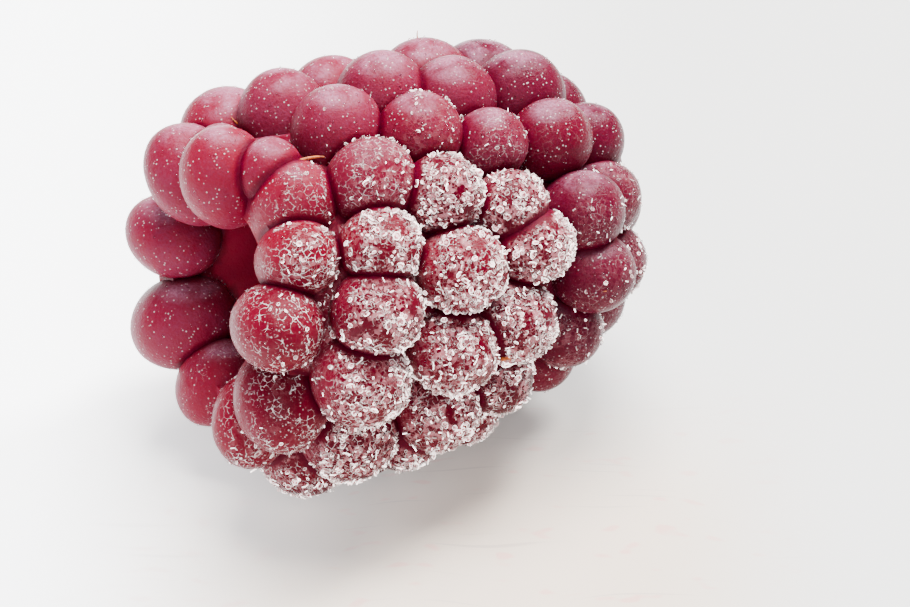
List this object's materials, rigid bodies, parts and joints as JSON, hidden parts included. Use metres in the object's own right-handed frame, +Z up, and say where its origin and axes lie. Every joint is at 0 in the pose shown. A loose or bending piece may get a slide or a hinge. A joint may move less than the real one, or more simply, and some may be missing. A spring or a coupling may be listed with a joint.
{
  "type": "raspberry",
  "caption": "Picked raspberry lying on its side: plump drupelets packed in rings round an open hollow, with a crust of ice crystals over one side.",
  "frame": {"origin": "on the surface that the berry rests on, under the middle of the box round both pieces", "axes": "+X along the berry's long axis from its open mouth towards its tip, +Y away from the frosted side, +Z up"},
  "size_m": [0.0214, 0.0186, 0.0171],
  "materials": {
    "flesh": "deep red fruit skin, satin, with a pale bloom",
    "frost": "white ice crystals, glinting at their edges"
  },
  "bodies": {
    "root": {"raspberry": "flesh", "frost": "frost"}
  },
  "joints": []
}
